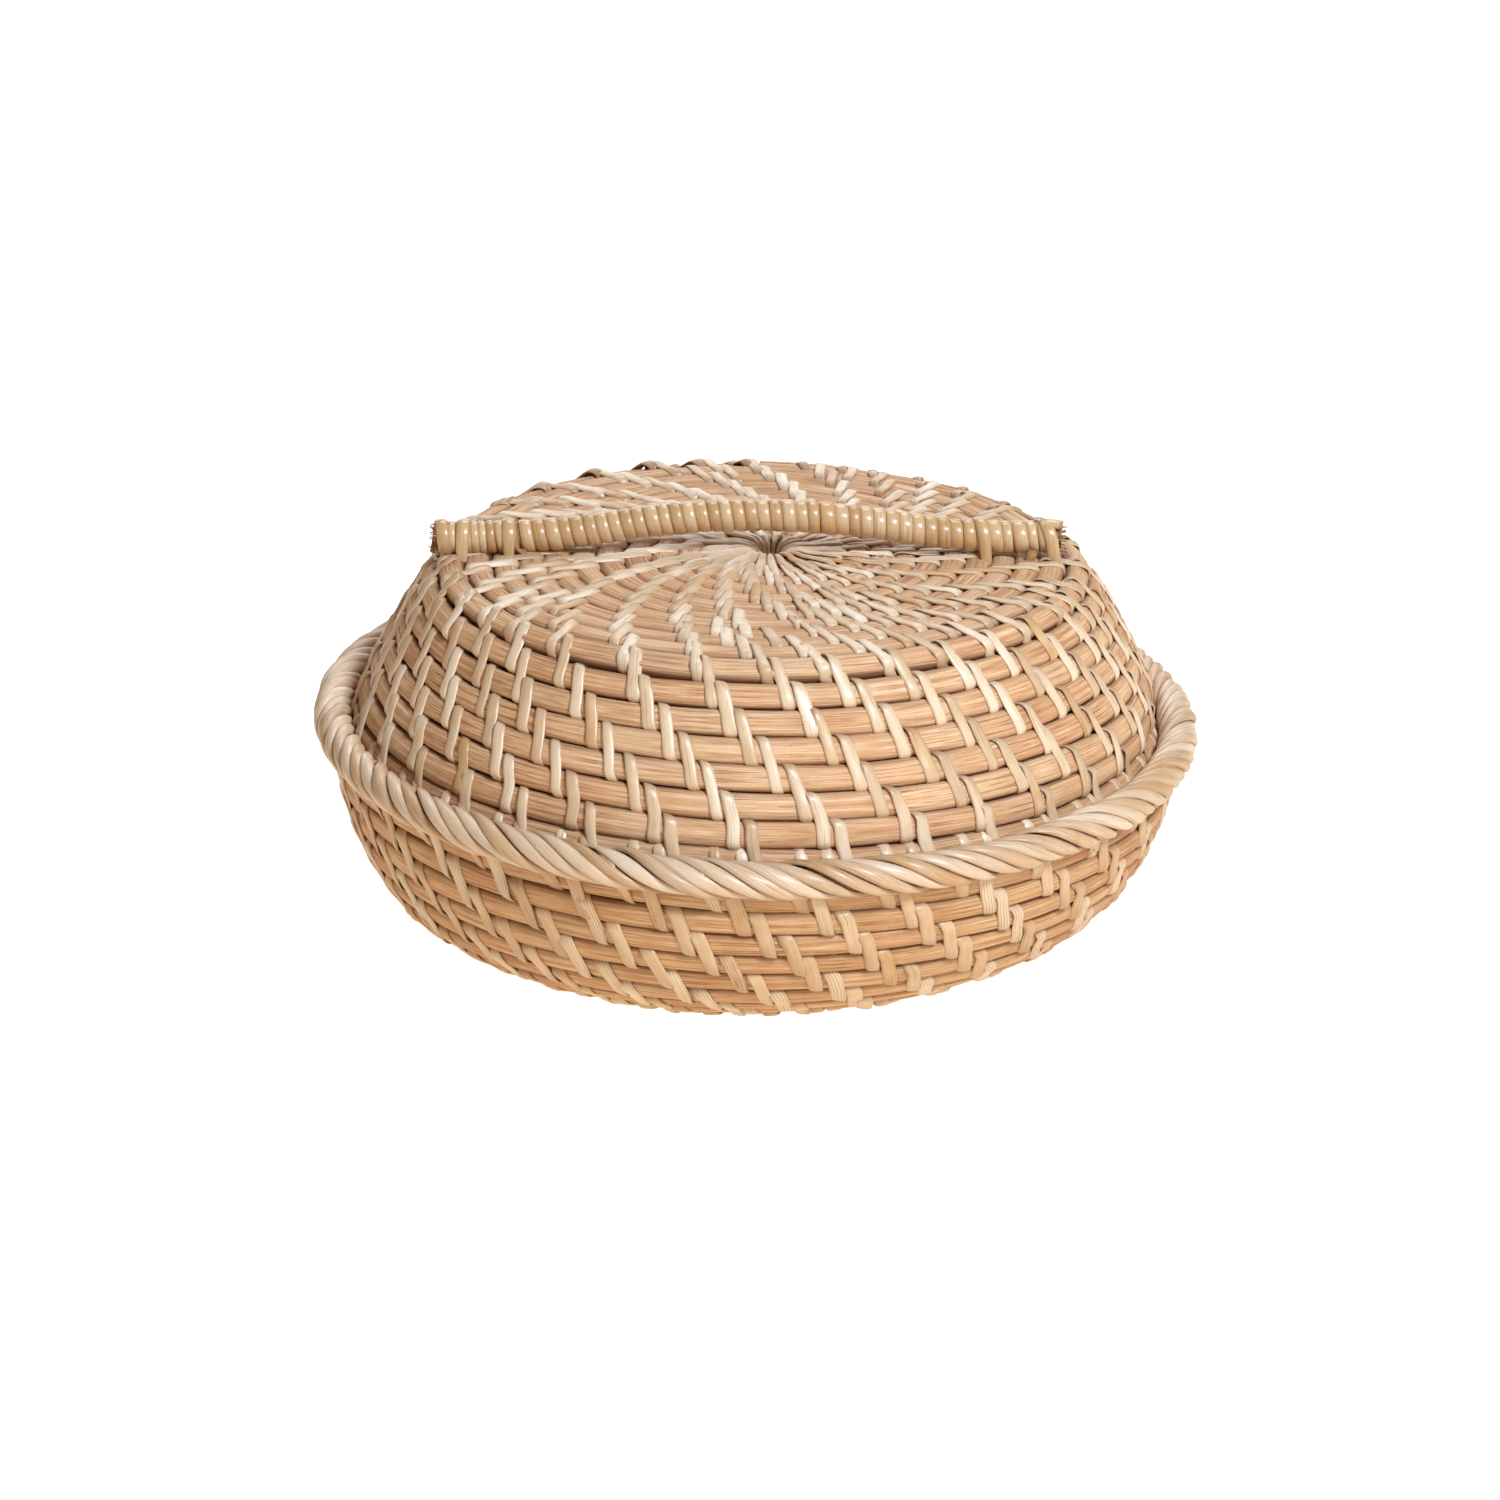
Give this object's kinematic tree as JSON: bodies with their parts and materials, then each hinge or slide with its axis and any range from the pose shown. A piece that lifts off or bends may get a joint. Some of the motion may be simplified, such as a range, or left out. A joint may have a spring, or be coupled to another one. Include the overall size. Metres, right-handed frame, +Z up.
{
  "type": "lidded wicker basket",
  "caption": "Round lidded basket of coiled rattan, with a wrapped rim, a lift-off domed lid and a low bow handle lashed over the lid.",
  "frame": {"origin": "centre of the flat underside, which is the middle of the footprint of the bounding box", "axes": "+Z up, along the axis of the round body and the way the lid lifts; +X along the handle"},
  "size_m": [0.2806, 0.2806, 0.1331],
  "materials": {
    "rattan_core": "matte",
    "cane_strip": "satin",
    "handle_cane": "satin"
  },
  "bodies": {
    "base": {"base_coil_01": "rattan_core", "base_coil_02": "rattan_core", "base_coil_03": "rattan_core", "base_coil_04": "rattan_core", "base_coil_05": "rattan_core", "base_coil_06": "rattan_core", "base_coil_07": "rattan_core", "base_coil_08": "rattan_core", "base_coil_09": "rattan_core", "base_coil_10": "rattan_core", "base_floor_coil": "rattan_core", "base_rosette": "cane_strip", "base_stitching_floor_inside": "cane_strip", "base_stitching_floor_under": "cane_strip", "base_stitching_wall_high_inside": "cane_strip", "base_stitching_wall_high_outside": "cane_strip", "base_stitching_wall_low_inside": "cane_strip", "base_stitching_wall_low_outside": "cane_strip", "rim_core": "rattan_core", "rim_wrap": "cane_strip"},
    "lid": {"handle_core": "rattan_core", "handle_lashing_01": "handle_cane", "handle_lashing_02": "handle_cane", "handle_lashing_03": "handle_cane", "handle_lashing_04": "handle_cane", "handle_wrap_bow": "handle_cane", "handle_wrap_left": "handle_cane", "handle_wrap_right": "handle_cane", "lid_coil_01": "rattan_core", "lid_coil_02": "rattan_core", "lid_coil_03": "rattan_core", "lid_coil_04": "rattan_core", "lid_coil_05": "rattan_core", "lid_coil_06": "rattan_core", "lid_coil_07": "rattan_core", "lid_coil_08": "rattan_core", "lid_coil_09": "rattan_core", "lid_coil_10": "rattan_core", "lid_edge_binding": "cane_strip", "lid_rosette": "cane_strip", "lid_stitching_side_inside": "cane_strip", "lid_stitching_side_outside": "cane_strip", "lid_stitching_top_inside": "cane_strip", "lid_stitching_top_outside": "cane_strip", "lid_top_coil": "rattan_core"}
  },
  "joints": [
    {"name": "lid_lift", "type": "slide", "parent": "base", "child": "lid", "axis": [0, 0, 1], "range_m": [0, 0.12]}
  ]
}
